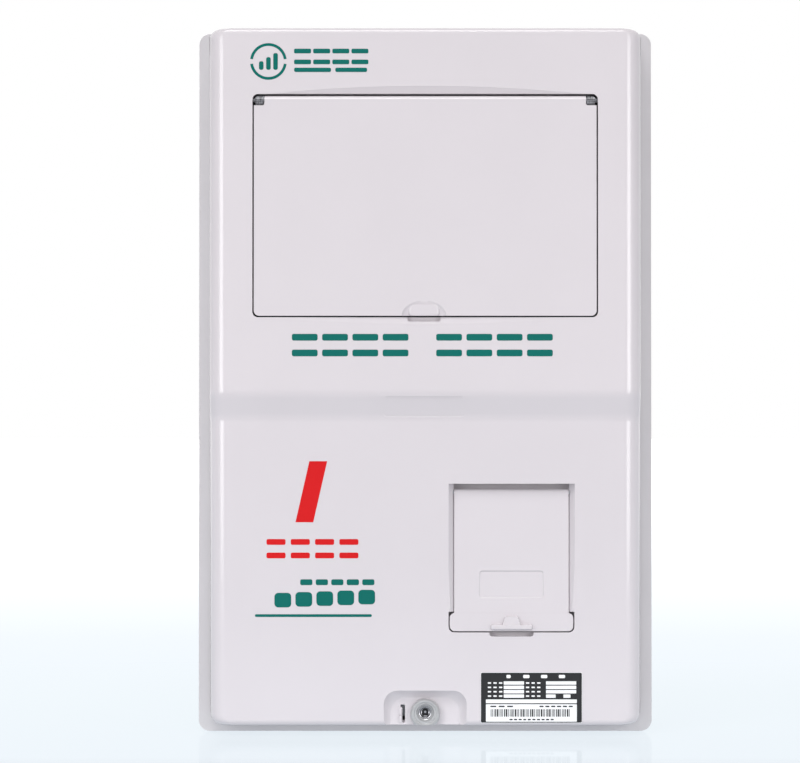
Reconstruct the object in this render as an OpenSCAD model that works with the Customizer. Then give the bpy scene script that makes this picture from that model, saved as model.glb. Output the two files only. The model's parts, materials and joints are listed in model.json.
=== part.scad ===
// Two-position wall-mounted meter enclosure. X is across, Z is up, and the wall is the plane y = 0.
// Depths are measured out from the wall, towards -Y.

/* [Base] */
// Width of the base across its front rim
base_w = 362; // [360:1:363]
// Height of the base across its front rim
base_h = 558; // [556:1:560]
// Depth from the wall to the front of the rim
base_d = 95; // [94.8:0.1:95.2]
// Wall thickness of the moulded shells
wall = 3; // [2.8:0.1:3.2]
// Distance between the wall bolts across the base
bolt_span_x = 280; // [276:2:284]
// Distance between the wall bolts up the base
bolt_span_z = 460; // [456:2:464]
// Radius of the wall bolt holes
bolt_r = 4; // [3:0.5:4.5]
// Radius of the bore in each cable grommet
cable_r = 10; // [6:0.5:12]

/* [Front cover] */
// Width of the front cover
cover_w = 344; // [342:1:345]
// Depth from the wall to the front of the cover
cover_d = 150; // [150:0.1:150.4]
// Radius of the rounded upright front edges
edge_r = 13; // [10:1:16]
// How far each side wall leans in from the seam to the front
draft = 2; // [1:0.5:3]
// Width of the window flap
flap_w = 268.5; // [266:0.5:269]
// Width of the breaker flap at its foot
door_w = 97.2; // [96:0.2:97.6]

/* [Meters] */
// Width of one meter
meter_w = 112; // [108:1:116]
// Distance from the middle of the enclosure to the middle of each meter
meter_x = 66; // [62:1:66]

/* [Switchgear] */
// Width of one two-pole device
device_w = 36; // [35:0.5:36]
// Angle of a toggle above level when it is on
toggle_up = 25; // [20:1:26]

/* [Lock] */
// Radius of the lock bezel
bezel_r = 11.9; // [11:0.1:12]
// Length of the cam from the lock axis
cam_len = 22; // [20:0.5:24]

/* [Wiring] */
// Radius of an insulated wire
wire_r = 2.25; // [1.5:0.05:2.3]

/* [Hidden] */
$fn = 48;
fit = 0.06;           // radial clearance of a pin in its bore
gap = 0.2;            // clearance between neighbouring fixed pieces

// Rim, cover seam and hinge
rim_w = 16;
rim_t = 4;
skirt_t = 12;
body_w = base_w - 8;
body_h = base_h - 8;
cover_back = base_d + 0.8;
cover_top = base_h / 2 - 2;
cover_bottom = 8 - base_h / 2;
cover_h = cover_top - cover_bottom;
cover_z = (cover_top + cover_bottom) / 2;
hinge_d = base_d + 8.6;
hinge_z = cover_top - 8;
hinge_x = 110;
hinge_half = 15;
ear_z = hinge_z - 24;
pin_r = 2;
gasket_t = 2.4;

// Front cover profile: upright face, short slope, then a lower face that leans back
brow_z = -10;
brow_tilt = atan(8 / 19);
lower_z = -29;
lower_d = cover_d - 8;
lower_tilt = atan(11 / 242);

// Window flap
flap_top = 223.8;
flap_bottom = 51;
flap_knuckle_r = 3.6;
flap_z = flap_top - flap_knuckle_r;
flap_d = cover_d - flap_knuckle_r;
flap_pin_r = 1.8;
flap_notch = 9.7;
tub_d = cover_d - 11;
tub_floor = cover_d - 8;
pane_w = 254;
pane_h = 162;
pane_z = 137;
view_w = 244;
view_h = 152;
frame_screw_x = 132.5;

// Breaker flap and its pocket
door_x = 67.9;
door_top = -85.2;
door_bottom = -196.8;
pocket_top = -82.2;
door_front = cover_d - 16.5;
door_t = 2.5;
door_step = -182.5;
door_panel_w = door_w - 10;
door_knuckle_r = 2.3;
door_z = door_top - door_knuckle_r;
door_d = door_front - door_knuckle_r;
door_pin_r = 1.4;
pocket_floor = cover_d - 26;

// Lock
lock_z = cover_bottom + 9.8;
recess_w = 66;
recess_top = -245.3;
recess_d = cover_d - 25;
barrel_r = 5.2;
sleeve_r = 6;
cam_d = base_d + 4.2;
cam_t = 2.5;
catch_lip_d = cam_d + cam_t + 1.8;

// Mounting plate, meters and switchgear
plate_d = 14;
plate_t = 2;
plate_front = plate_d + plate_t;
plate_w = 252;
plate_bottom = -246;
plate_top = 262;
boss_x = 118;
boss_zs = [252, 0, -236];
meter_z0 = 56;
meter_z1 = 216;
meter_split = 102;
meter_mid_d = 58;
meter_front_d = 86;
meter_wall = 2.5;
lcd_z = 182;
button_z = 150;
button_dx = 16;
terminal_dx = [-33, -11, 11, 33];
rail_z = -140;
rail_d = 65;
rail_half = 122;
bracket_x = 115;
device_back = 60;
device_face = 105;
nose_face = 124.5;
toggle_d = 113;
toggle_len = 16.5;
isolator_x = -80;
breaker_xs = [49, 85];
pole_dx = 9;
device_top = rail_z + 41.5;
bar_z = -218;
bar_d = 40;
bar_len = 90;
grommet_xs = [-80, 0, 80];
grommet_d = 45;

// Wire routes as points (x, depth, z), from the switchgear's top terminals up to the meters
in_z = device_top - 6.5;
live_routes = [
    [[-91.6, 85, in_z], [-91.6, 85, -80], [-99, 62, -40], [-99, 44, 0], [-99, 40, 30],
     [-99, 40, 59.5]],
    [[40, 85, in_z], [40, 85, -80], [40, 70, -50], [40, 40, 0], [38, 26, 22], [20, 24, 28],
     [-40, 24, 32], [-70, 28, 36], [-77, 38, 44], [-77, 40, 59.5]],
    [[-86.4, 85, in_z], [-86.4, 88, -84], [-78, 92, -70], [-60, 90, -64], [-40, 75, -64],
     [-20, 60, -64], [20, 60, -64], [33, 56, -48], [33, 44, 0], [33, 40, 30], [33, 40, 59.5]],
    [[76, 85, in_z], [76, 85, -80], [76, 75, -60], [76, 48, -30], [64, 34, 0], [55, 36, 30],
     [55, 40, 59.5]]
];
neutral_routes = [
    [[-73.6, 85, in_z], [-73.6, 85, -80], [-62, 62, -40], [-55, 44, 0], [-55, 40, 30],
     [-55, 40, 59.5]],
    [[58, 85, in_z], [58, 85, -80], [58, 75, -50], [58, 64, -10], [40, 60, 6], [-10, 60, 8],
     [-28, 50, 14], [-33, 40, 30], [-33, 40, 59.5]],
    [[-68.4, 85, in_z], [-68.4, 85, -92], [-58, 70, -80], [-40, 60, -78], [70, 60, -78],
     [85, 60, -66], [85, 50, -20], [82, 42, 10], [77, 40, 35], [77, 40, 59.5]],
    [[94, 85, in_z], [94, 85, -80], [94, 75, -60], [97, 55, -20], [99, 40, 20], [99, 40, 59.5]]
];

// ---- Shared shapes ----

// Children drawn in front view, lifted to depth d: local z points out of the wall
module out(d) translate([0, -d, 0]) rotate([90, 0, 0]) children();

// Rectangle with round corners
module rounded(w, h, r) {
    square([w - 2 * r, h], center = true);
    square([w, h - 2 * r], center = true);
    for (i = [-1, 1], j = [-1, 1])
        translate([i * (w / 2 - r), j * (h / 2 - r)]) circle(r);
}

// Flat plate in front view, centred on (x, z), between two depths
module slab(x, z, w, h, r, d0, d1)
    out(d0) linear_extrude(d1 - d0) translate([x, z]) rounded(w, h, r);

// Plain block between two corners
module block(x0, x1, z0, z1, d0, d1)
    translate([x0, -d1, z0]) cube([x1 - x0, d1 - d0, z1 - z0]);

// Round bar along the depth
module rod(x, z, r, d0, d1) out(d0) translate([x, z, 0]) cylinder(r = r, h = d1 - d0);

// Round bar across
module bar(x0, x1, z, d, r) translate([x0, -d, z]) rotate([0, 90, 0]) cylinder(r = r, h = x1 - x0);

// Side profile of (depth, z) points, extruded across from x0 to x1
module side_profile(points, x0, x1)
    translate([x0, 0, 0]) rotate([90, 0, 90]) linear_extrude(x1 - x0)
        polygon([for (p = points) [-p[0], p[1]]]);

// Pan-head screw with a driver slot, seated at depth d and running back into the piece
module screw(x, z, d, head_r, head_h, shank_r, shank_len) {
    difference() {
        rod(x, z, head_r, d, d + head_h);
        block(x - head_r, x + head_r, z - 0.5, z + 0.5, d + head_h * 0.5, d + head_h + 1);
    }
    rod(x, z, shank_r, d - shank_len, d + 0.1);
}

// Raised outline of a round-cornered rectangle, drawn flat
module outline_2d(w, h, r, line) difference() {
    rounded(w, h, r);
    rounded(w - 2 * line, h - 2 * line, r - line);
}

// Tube swept along a route of (x, depth, z) points
function unit(v) = v / norm(v);
function spot(p) = [p[0], -p[1], p[2]];
function heading(route, i) = unit(
    (i < len(route) - 1 ? unit(spot(route[i + 1]) - spot(route[i])) : [0, 0, 0]) +
    (i > 0 ? unit(spot(route[i]) - spot(route[i - 1])) : [0, 0, 0]));
function ring(route, i, r, sides) =
    let (t = heading(route, i), u = unit(cross(t, [0, 1, 0])), v = cross(t, u))
    [for (k = [0:sides - 1]) spot(route[i]) + r * (cos(360 * k / sides) * u + sin(360 * k / sides) * v)];
module wire(route, r, sides = 8) {
    rings = len(route);
    points = [for (i = [0:rings - 1]) each ring(route, i, r, sides)];
    walls = [for (i = [0:rings - 2], k = [0:sides - 1])
        let (a = i * sides + k, b = i * sides + (k + 1) % sides)
        each [[a, a + sides, b + sides], [a, b + sides, b]]];
    polyhedron(points, concat(walls, [[for (k = [0:sides - 1]) k]],
        [[for (k = [sides - 1:-1:0]) (rings - 1) * sides + k]]));
}

// ---- Base ----

module base_shell() difference() {
    union() {
        slab(0, 0, body_w, body_h, 8, 0, base_d - rim_t);
        slab(0, 0, base_w, base_h, 9, base_d - skirt_t, base_d);
    }
    difference() {
        slab(0, 0, body_w - 2 * wall, body_h - 2 * wall, 6, wall, base_d - rim_t);
        // Bar behind the rim along the hinge, and the pad that carries the lock catch
        block(-body_w / 2, body_w / 2, base_h / 2 - rim_w, base_h / 2, base_d - skirt_t, base_d);
        block(-46, -28, -base_h / 2, -250, base_d - 10, base_d);
    }
    slab(0, 0, base_w - 2 * rim_w, base_h - 2 * rim_w, 10, base_d - skirt_t - 1, base_d + 1);
}

// Hinge ear: rises inside the cover, under the pin, clear of the turning top wall
module hinge_ear(x) difference() {
    union() {
        block(x - hinge_half, x + hinge_half, ear_z, base_h / 2 - rim_w + 1,
            base_d - skirt_t, base_d - 3);
        block(x - hinge_half, x + hinge_half, ear_z, ear_z + 10, base_d - skirt_t, hinge_d + 4.2);
        block(x - hinge_half, x + hinge_half, ear_z, hinge_z, hinge_d - 4.2, hinge_d + 4.2);
        bar(x - hinge_half, x + hinge_half, hinge_z, hinge_d, 4.6);
    }
    bar(x - hinge_half - 1, x + hinge_half + 1, hinge_z, hinge_d, pin_r + fit);
}

// Track of the gasket, open along the hinge side
module gasket_track(extra, d0, d1) difference() {
    slab(0, cover_z, cover_w - 1.6 + 2 * extra, cover_h - 1.6 + 2 * extra, 7.2, d0, d1);
    slab(0, cover_z, cover_w - 8 - 2 * extra, cover_h - 8 - 2 * extra, 4, d0 - 1, d1 + 1);
    block(-base_w, base_w, 240 + extra, base_h, d0 - 1, d1 + 1);
}

module base_box() color("gainsboro") {
    difference() {
        union() {
            base_shell();
            for (i = [-1, 1], z = boss_zs) rod(i * boss_x, z, 7, wall - 0.5, plate_d);
            block(-46, -28, 10 - base_h / 2, -250, base_d - 10, base_d);
        }
        // Swing room for the cover's top wall
        bar(-cover_w / 2 - 0.9, cover_w / 2 + 0.9, hinge_z, hinge_d, 11.5);
        gasket_track(gap, base_d - 2, base_d + 1);
        for (i = [-1, 1], j = [-1, 1])
            rod(i * bolt_span_x / 2, j * bolt_span_z / 2, bolt_r, -1, wall + 1);
        for (i = [-1, 1], z = boss_zs) rod(i * boss_x, z, 2, wall, plate_d + 1);
        for (x = grommet_xs)
            translate([x, -grommet_d, -base_h / 2]) cylinder(r = 16, h = 12);
        // Louvres low on both sides
        for (i = [-1, 1], k = [0:4])
            block(i * body_w / 2 - 5, i * body_w / 2 + 5, -200 - 8 * k, -197 - 8 * k, 22, 66);
        rod(-38, -260, 1.6, base_d - 9, base_d + 1);
    }
    for (i = [-1, 1]) hinge_ear(i * hinge_x);
}

module gasket() color("dimgray") gasket_track(0, base_d - 2, base_d - 2 + gasket_t);

module cable_grommets() color("darkslategray")
    for (x = grommet_xs) translate([x, -grommet_d, -body_h / 2]) difference() {
        union() {
            translate([0, 0, -2.7]) cylinder(r = 19, h = 2.5);
            translate([0, 0, -2.7]) cylinder(r = 15.8, h = wall + 5.4);
            translate([0, 0, wall + 0.2]) cylinder(r = 19, h = 2.5);
        }
        translate([0, 0, -4]) cylinder(r = cable_r, h = wall + 9);
    }

module lock_catch() color("silver") difference() {
    translate([0, 0, -266.3]) linear_extrude(14.3) polygon([
        [-46, -base_d], [-46, -base_d - 2], [-32, -base_d - 2], [-32, -catch_lip_d - 2],
        [-14, -catch_lip_d - 2], [-14, -catch_lip_d], [-30, -catch_lip_d], [-30, -base_d]]);
    rod(-38, -260, 1.8, base_d - 1, base_d + 3);
}

module catch_screw() color("silver") screw(-38, -260, base_d + 2, 3.4, 2.2, 1.5, 9);

// ---- Mounting plate and wiring hardware ----

module mounting_plate() color("lightsteelblue") difference() {
    slab(0, (plate_top + plate_bottom) / 2, plate_w, plate_top - plate_bottom, 6, plate_d, plate_front);
    for (i = [-1, 1], z = boss_zs) rod(i * boss_x, z, 2.2, plate_d - 1, plate_front + 1);
    for (i = [-1, 1], z = [50, 222]) rod(i * meter_x, z, 1.8, plate_d - 1, plate_front + 1);
    for (i = [-1, 1], j = [-1, 1])
        rod(i * bracket_x, rail_z + j * 18, 1.8, plate_d - 1, plate_front + 1);
}

module plate_screws() color("silver")
    for (i = [-1, 1], z = boss_zs) screw(i * boss_x, z, plate_front, 4.5, 2.6, 1.8, 11);

module din_rail() color("silver") difference() {
    side_profile([for (p = [[rail_d, 17.5], [rail_d - 1, 17.5], [rail_d - 1, 13.5],
        [rail_d - 7.5, 13.5], [rail_d - 7.5, -13.5], [rail_d - 1, -13.5], [rail_d - 1, -17.5],
        [rail_d, -17.5], [rail_d, -12.5], [rail_d - 6.5, -12.5], [rail_d - 6.5, 12.5],
        [rail_d, 12.5]]) [p[0], p[1] + rail_z]], -rail_half, rail_half);
    for (i = [-1, 1]) rod(i * bracket_x, rail_z, 2.2, rail_d - 9, rail_d);
}

module rail_brackets() color("silver") for (i = [-1, 1]) difference() {
    side_profile([for (p = [[plate_front, 24], [plate_front, 11], [rail_d - 9.5, 11],
        [rail_d - 9.5, -11], [plate_front, -11], [plate_front, -24], [plate_front + 2, -24],
        [plate_front + 2, -13], [rail_d - 7.5, -13], [rail_d - 7.5, 13], [plate_front + 2, 13],
        [plate_front + 2, 24]]) [p[0], p[1] + rail_z]], i * bracket_x - 6, i * bracket_x + 6);
    rod(i * bracket_x, rail_z, 2.2, rail_d - 11, rail_d);
    for (j = [-1, 1]) rod(i * bracket_x, rail_z + j * 18, 1.8, plate_front - 1, plate_front + 3);
}

module rail_screws() color("silver") for (i = [-1, 1]) {
    screw(i * bracket_x, rail_z, rail_d - 6.5, 4, 2.4, 2, 6);
    for (j = [-1, 1]) screw(i * bracket_x, rail_z + j * 18, plate_front + 2, 3.4, 2, 1.5, 4);
}

module terminal_bar(x) difference() {
    block(x - bar_len / 2, x + bar_len / 2, bar_z - 4, bar_z + 4, bar_d, bar_d + 8);
    for (k = [-3:3])
        block(x + k * 10 - 1.8, x + k * 10 + 1.8, bar_z - 5, bar_z + 5, bar_d + 2.2, bar_d + 5.8);
    for (i = [-1, 1]) rod(x + i * (bar_len / 2 - 5), bar_z, 1.8, bar_d - 1, bar_d + 9);
}

module bar_stands() color("dimgray")
    for (i = [-1, 1], j = [-1, 1]) difference() {
        slab(i * (20 + bar_len / 2) + j * (bar_len / 2 - 5), bar_z, 10, 16, 2, plate_front, bar_d);
        rod(i * (20 + bar_len / 2) + j * (bar_len / 2 - 5), bar_z, 1.7, bar_d - 12, bar_d + 1);
    }

module bar_screws() color("silver") for (i = [-1, 1]) {
    for (k = [-3:3]) screw(i * (20 + bar_len / 2) + k * 10, bar_z, bar_d + 8, 2.4, 2, 1.2, 0);
    for (j = [-1, 1])
        screw(i * (20 + bar_len / 2) + j * (bar_len / 2 - 5), bar_z, bar_d + 8, 3.2, 2, 1.5, 18);
}

// ---- Meters ----

module meter_case(x) color("slategray") difference() {
    union() {
        slab(x, (meter_z0 + meter_z1) / 2, meter_w, meter_z1 - meter_z0, 5, plate_front + gap, meter_mid_d);
        for (z = [50, 222]) slab(x, z, 20, 16, 4, plate_front + gap, plate_front + 3 + gap);
    }
    slab(x, 158.5, meter_w - 5, 110, 3, plate_front + 2.7, meter_mid_d + 1);
    block(x - 45, x + 45, meter_z0 - 1, 100, 30, meter_mid_d + 1);
    for (z = [50, 222]) rod(x, z, 2.2, plate_front, plate_front + 4);
    for (i = [-1, 1]) rod(x + i * 50, 80, 1.6, meter_mid_d - 12, meter_mid_d + 1);
}

module meter_front(x) color("whitesmoke") difference() {
    union() {
        difference() {
            slab(x, (meter_split + meter_z1) / 2, meter_w, meter_z1 - meter_split, 5,
                meter_mid_d + gap, meter_front_d);
            slab(x, (meter_split + meter_z1) / 2, meter_w - 2 * meter_wall,
                meter_z1 - meter_split - 2 * meter_wall, 3, meter_mid_d - 1, meter_front_d - meter_wall);
        }
        for (i = [-1, 1], z = [112, 206]) rod(x + i * 45, z, 3, 71.8, meter_front_d - 1);
    }
    slab(x, lcd_z, 62, 28, 2, meter_front_d - 4, meter_front_d + 1);
    for (i = [-1, 1]) slab(x + i * button_dx, button_z, 12, 7, 2, meter_front_d - 4, meter_front_d + 1);
}

module meter_board(x) color("seagreen")
    slab(x, (meter_split + meter_z1) / 2, meter_w - 8, 106, 2, 70, 71.6);

module meter_display(x) color("darkolivegreen") {
    slab(x, lcd_z, 66, 32, 1, 80, meter_front_d - meter_wall - gap);
    slab(x, lcd_z, 61.4, 27.4, 1.7, 80, meter_front_d - 0.8);
}

module terminal_block(x) color("dimgray") difference() {
    slab(x, 78.5, 88, 37, 1, 30.2, 52);
    for (dx = terminal_dx) rod(x + dx, 84, 4, 44, 53);
    for (dx = terminal_dx) block(x + dx - 5, x + dx + 5, 55, 63, 46, 53);
}

module terminal_screws(x) color("goldenrod")
    for (dx = terminal_dx) screw(x + dx, 84, 46, 3.6, 3, 1.8, 1.8);

module terminal_cover(x) color("whitesmoke") difference() {
    slab(x, (meter_z0 + meter_split) / 2 - 0.2, meter_w, meter_split - meter_z0 - 0.6, 4,
        meter_mid_d + gap, 76);
    slab(x, (meter_z0 + meter_split) / 2 - 0.2, meter_w - 2 * meter_wall,
        meter_split - meter_z0 - 0.6 - 2 * meter_wall, 2, meter_mid_d - 1, 76 - meter_wall);
    for (i = [-1, 1]) rod(x + i * 50, 80, 2, 70, 77);
}

module cover_screws(x) color("silver")
    for (i = [-1, 1]) screw(x + i * 50, 80, 76, 3.6, 2.4, 1.5, 28);

// Push button with a retaining flange behind the meter's front wall
module meter_button(x) color("royalblue") {
    slab(x, button_z, 11.2, 6.2, 1.8, 81, meter_front_d + 2.2);
    slab(x, button_z, 15, 10, 2, 81, meter_front_d - meter_wall - 0.3);
}

module meter_screws() color("silver")
    for (i = [-1, 1], z = [50, 222]) screw(i * meter_x, z, plate_front + 3.2, 4, 2.4, 1.5, 5);

// ---- Switchgear ----

module device_body(x) color("whitesmoke") difference() {
    side_profile([for (p = [[device_back, 41.5], [device_back, 15.5], [63.7, 15.5], [63.7, 17.9],
        [65.2, 17.9], [65.2, -17.9], [device_back, -17.9], [device_back, -41.5],
        [device_face - 3, -41.5], [device_face, -38.5], [device_face, -24.5],
        [nose_face - 1, -22.5], [nose_face, -21.5], [nose_face, 21.5], [nose_face - 1, 22.5],
        [device_face, 24.5], [device_face, 38.5], [device_face - 3, 41.5]])
        [p[0], p[1] + rail_z]], x - device_w / 2 + 0.15, x + device_w / 2 - 0.15);
    block(x - 13, x + 13, rail_z - 9.5, rail_z + 9.5, toggle_d - 5, nose_face + 1);
    bar(x - 15.6, x + 15.6, rail_z, toggle_d, 1.5 + fit);
    for (i = [-1, 1], j = [-1, 1]) {
        rod(x + i * pole_dx, rail_z + j * 33, 3.2, device_face - 9, device_face + 1);
        block(x + i * pole_dx - 5.5, x + i * pole_dx + 5.5, rail_z + j * 38 - 4.5,
            rail_z + j * 38 + 4.5, 81, 89);
    }
}

// Tied toggle of both poles, at rest in the on position
module device_toggle(x) translate([0, -toggle_d, rail_z]) rotate([-toggle_up, 0, 0])
    translate([0, toggle_d, -rail_z]) {
        bar(x - 12.6, x + 12.6, rail_z, toggle_d, 4.4);
        bar(x - 15.4, x + 15.4, rail_z, toggle_d, 1.5);
        block(x - 12, x + 12, rail_z - 2.3, rail_z + 2.3, toggle_d, toggle_d + toggle_len - 0.6);
    }

module device_screws() color("silver")
    for (x = concat([isolator_x], breaker_xs), i = [-1, 1], j = [-1, 1])
        screw(x + i * pole_dx, rail_z + j * 33, device_face - 9, 3, 3, 1.2, 0);

// ---- Front cover ----

// Plan section of the cover's front with edges of radius r, its front face on y = 0, inset by g.
// Its sides lean in by the draft over the cover's depth.
module plan_section(g, r) {
    e = cover_w / 2 - draft - g;
    s = r - g;
    back = 400;
    spread = draft * back / (cover_d - cover_back);
    polygon([for (i = [-1, 1]) each
        [for (a = [0:15:90]) let (t = i > 0 ? a : 90 - a)
            [i * (e - s + s * sin(t)), g + s - s * cos(t)]],
        [e + spread, back], [-e - spread, back]]);
}

// Upright prism of that section, tilted about its face at (d, z)
module front_prism(d, z, tilt, g, r)
    translate([0, -d, z]) rotate([tilt, 0, 0]) translate([0, 0, -700]) linear_extrude(1400)
        plan_section(g, r);

// Outer form of the cover, or its cavity when g is the wall thickness
module cover_form(g, back) intersection() {
    slab(0, cover_z, cover_w - 2 * g, cover_h - 2 * g, 8 - g, back, cover_d + 1);
    front_prism(cover_d, 0, 0, g, edge_r);
    union() {
        front_prism(cover_d, brow_z, brow_tilt, g, edge_r + 0.8);
        front_prism(lower_d, lower_z, lower_tilt, g, edge_r + 0.4);
    }
}

// Frames on the slope and on the lower face: x across, y up the face, z outwards
module on_brow() translate([0, -cover_d, brow_z]) rotate([90 + brow_tilt, 0, 0]) children();
module on_lower() translate([0, -lower_d, lower_z]) rotate([90 + lower_tilt, 0, 0]) children();

module cover_lug(x) difference() {
    union() {
        bar(x - 3, x + 3, hinge_z, hinge_d, 7.5);
        block(x - 3, x + 3, hinge_z, cover_top - wall + 0.5, hinge_d - 6, hinge_d + 6);
    }
    bar(x - 4, x + 4, hinge_z, hinge_d, pin_r);
}

// Pocket of the breaker flap: slanted side walls above its foot, full width at the foot
module breaker_pocket() {
    half = door_panel_w / 2 + 0.6;
    wide = door_w / 2 + 0.9;
    translate([door_x, 0, door_step + 1]) linear_extrude(pocket_top - door_step - 1) polygon([
        [-half, -pocket_floor], [half, -pocket_floor], [half, -door_front + 0.5],
        [wide, 0.5 - door_front - (wide - half)], [wide, -cover_d], [-wide, -cover_d],
        [-wide, 0.5 - door_front - (wide - half)], [-half, -door_front + 0.5]]);
    difference() {
        slab(door_x, -150, 2 * wide, 2 * (-150 - door_bottom + 1), 4.5, pocket_floor, cover_d);
        block(-20, 150, door_step + 1, 0, 0, cover_d + 1);
    }
    slab(door_x, door_bottom - 2.5, 35, 6, 2.5, door_front - 2, cover_d);
}

module front_cover() color("whitesmoke") {
    difference() {
        union() {
            difference() {
                cover_form(0, cover_back);
                cover_form(wall, cover_back - 5);
            }
            // Tub round the window, block round the breaker pocket, and wall of the lock recess
            slab(0, pane_z - 0.5, flap_w + 8, 182, 4, tub_d, cover_d - 1);
            intersection() {
                union() {
                    block(door_x - 53, door_x + 53, door_bottom - 8, pocket_top + 4,
                        pocket_floor - 3, cover_d);
                    block(-recess_w / 2 - 3, recess_w / 2 + 3, cover_bottom, recess_top + 3,
                        recess_d - 3, cover_d);
                }
                cover_form(0.5, 100);
            }
        }
        slab(0, (flap_top + flap_bottom) / 2 + 0.1, flap_w + 2, flap_top - flap_bottom + 2.2, 4,
            tub_floor, cover_d + 1);
        slab(0, pane_z, view_w, view_h, 4, tub_d - 1, tub_floor + 1);
        slab(-1, flap_bottom - 1.5, 26, 6, 2.5, cover_d - 2.4, cover_d + 1);
        for (i = [-1, 1])
            bar(i * (flap_w / 2 + 2.5) - 3, i * (flap_w / 2 + 2.5) + 3, flap_z, flap_d,
                flap_pin_r + fit);
        for (i = [-1, 1], j = [-1:1])
            rod(i * frame_screw_x, pane_z + j * 72, 1.5, tub_d - 1, tub_floor - 0.5);
        breaker_pocket();
        slab((breaker_xs[0] + breaker_xs[1]) / 2, rail_z, 76, 50, 2,
            pocket_floor - 4, pocket_floor + 1);
        for (i = [-1, 1])
            bar(door_x + i * (door_panel_w / 2 + 2) - 2.5, door_x + i * (door_panel_w / 2 + 2) + 2.5,
                door_z, door_d, door_pin_r + fit);
        // Lock recess, open at the bottom edge
        slab(0, recess_top - 30, recess_w, 60, 11, recess_d, cover_d);
        rod(0, lock_z, sleeve_r + 0.2, recess_d - 4, recess_d + 1);
        block(-17.6, -16.4, -269.5, -254.8, recess_d - 4, recess_d + 1);
    }
    for (i = [-1, 1], j = [-1, 1]) cover_lug(i * hinge_x + j * (hinge_half + 3.4));
    // Raised outline on the slope
    on_brow() translate([-1, -10.8, -0.2]) linear_extrude(0.5) outline_2d(64, 17.5, 3, 0.8);
}

module hinge_pins() color("silver")
    for (i = [-1, 1])
        bar(i * hinge_x - hinge_half - 6.4, i * hinge_x + hinge_half + 6.4, hinge_z, hinge_d, pin_r);

module window_pane() color("lightcyan", 0.4)
    slab(0, pane_z, pane_w, pane_h, 4, tub_d - 2, tub_d);

module pane_frame() color("gainsboro") difference() {
    slab(0, pane_z, flap_w + 5, 178, 4, tub_d - 5, tub_d - gap);
    slab(0, pane_z, view_w, view_h, 4, tub_d - 6, tub_d);
    slab(0, pane_z, pane_w + 1, pane_h + 1, 4.5, tub_d - 2.2, tub_d + 1);
    for (i = [-1, 1], j = [-1:1]) rod(i * frame_screw_x, pane_z + j * 72, 1.7, tub_d - 6, tub_d);
}

// Driven from behind, so each is turned to face the wall
module pane_screws() color("silver") translate([0, -2 * tub_d + 10, 0]) mirror([0, 1, 0])
    for (i = [-1, 1], j = [-1:1]) screw(i * frame_screw_x, pane_z + j * 72, tub_d - 5, 3, 2, 1.3, 7);

module nameplate() color("white")
    on_lower() translate([83.6, -220.4, 0]) linear_extrude(0.6) rounded(80, 40, 1);

// Flat along the cover's bottom edge
module lock_bezel() color("silver") difference() {
    out(0) translate([0, lock_z, 0]) rotate_extrude()
        polygon([[barrel_r + fit, recess_d - 17], [sleeve_r, recess_d - 17],
            [sleeve_r, recess_d + gap], [bezel_r, recess_d + gap], [bezel_r, recess_d + 3],
            [bezel_r - 2.6, recess_d + 5.4], [barrel_r + 2, recess_d + 5.4],
            [barrel_r + fit, recess_d + 4]]);
    block(-20, 20, cover_bottom - 20, cover_bottom + 0.3, recess_d - 1, recess_d + 8);
}

module lock_nut() color("silver") difference() {
    out(recess_d - 8) translate([0, lock_z, 0]) cylinder(r = sleeve_r + 1.6, h = 4.8, $fn = 6);
    rod(0, lock_z, sleeve_r + 0.05, recess_d - 9, recess_d);
}

module lock_barrel() color("silver") difference() {
    union() {
        rod(0, lock_z, barrel_r, cam_d + cam_t + gap, recess_d + 4);
        rod(0, lock_z, 3, cam_d, recess_d);
    }
    out(recess_d) translate([0, lock_z, 0]) cylinder(r1 = 3.2, r2 = 4.6, h = 4.1);
    out(recess_d - 8) translate([0, lock_z, 0]) cylinder(r = 3.2, h = 9, $fn = 6);
    rod(0, lock_z, 1.6, cam_d - 1, cam_d + 8);
}

module lock_cam() color("silver") difference() {
    union() {
        rod(0, lock_z, 6, cam_d, cam_d + cam_t);
        block(-4, 4, lock_z, lock_z + cam_len, cam_d, cam_d + cam_t);
    }
    rod(0, lock_z, 3, cam_d - 1, cam_d + cam_t + 1);
}

module cam_screw() color("silver") {
    rod(0, lock_z, 4.5, cam_d - 2.4, cam_d);
    rod(0, lock_z, 1.5, cam_d - 1, cam_d + 6);
}

// ---- Flaps ----

module window_flap() color("whitesmoke") {
    dish_z = flap_bottom + 5.5;
    edge = flap_w / 2;
    difference() {
        union() {
            slab(0, (flap_bottom + flap_z) / 2, flap_w, flap_z - flap_bottom, 4, cover_d - 3, cover_d);
            bar(flap_notch - edge, edge - flap_notch, flap_z, flap_d, flap_knuckle_r);
            difference() {
                slab(0, 132, flap_w - 3, 161, 3, tub_floor + 1, cover_d - 2.5);
                slab(0, 132, flap_w - 7, 157, 2, tub_floor, cover_d - 3);
            }
        }
        for (i = [-1, 1]) {
            block(i * edge - flap_notch, i * edge + flap_notch, flap_z - flap_knuckle_r - 1.4,
                flap_top + 1, tub_floor, cover_d + 1);
            bar(i * (edge - flap_notch) - 8, i * (edge - flap_notch) + 8, flap_z, flap_d, flap_pin_r);
        }
        slab(-1, dish_z, 34, 13, 6, cover_d - 1.6, cover_d + 1);
    }
    slab(-1, flap_bottom + 4.9, 22, 9, 4, cover_d - 2, cover_d);
}

module flap_knuckles() color("darkgray") for (i = [-1, 1]) {
    edge = i * flap_w / 2;
    inner = edge - i * flap_notch;
    bar(min(inner + i * 0.2, edge - i * 0.2), max(inner + i * 0.2, edge - i * 0.2),
        flap_z, flap_d, flap_knuckle_r);
    bar(min(inner - i * 7.5, edge + i * 3.6), max(inner - i * 7.5, edge + i * 3.6),
        flap_z, flap_d, flap_pin_r);
}

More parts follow.
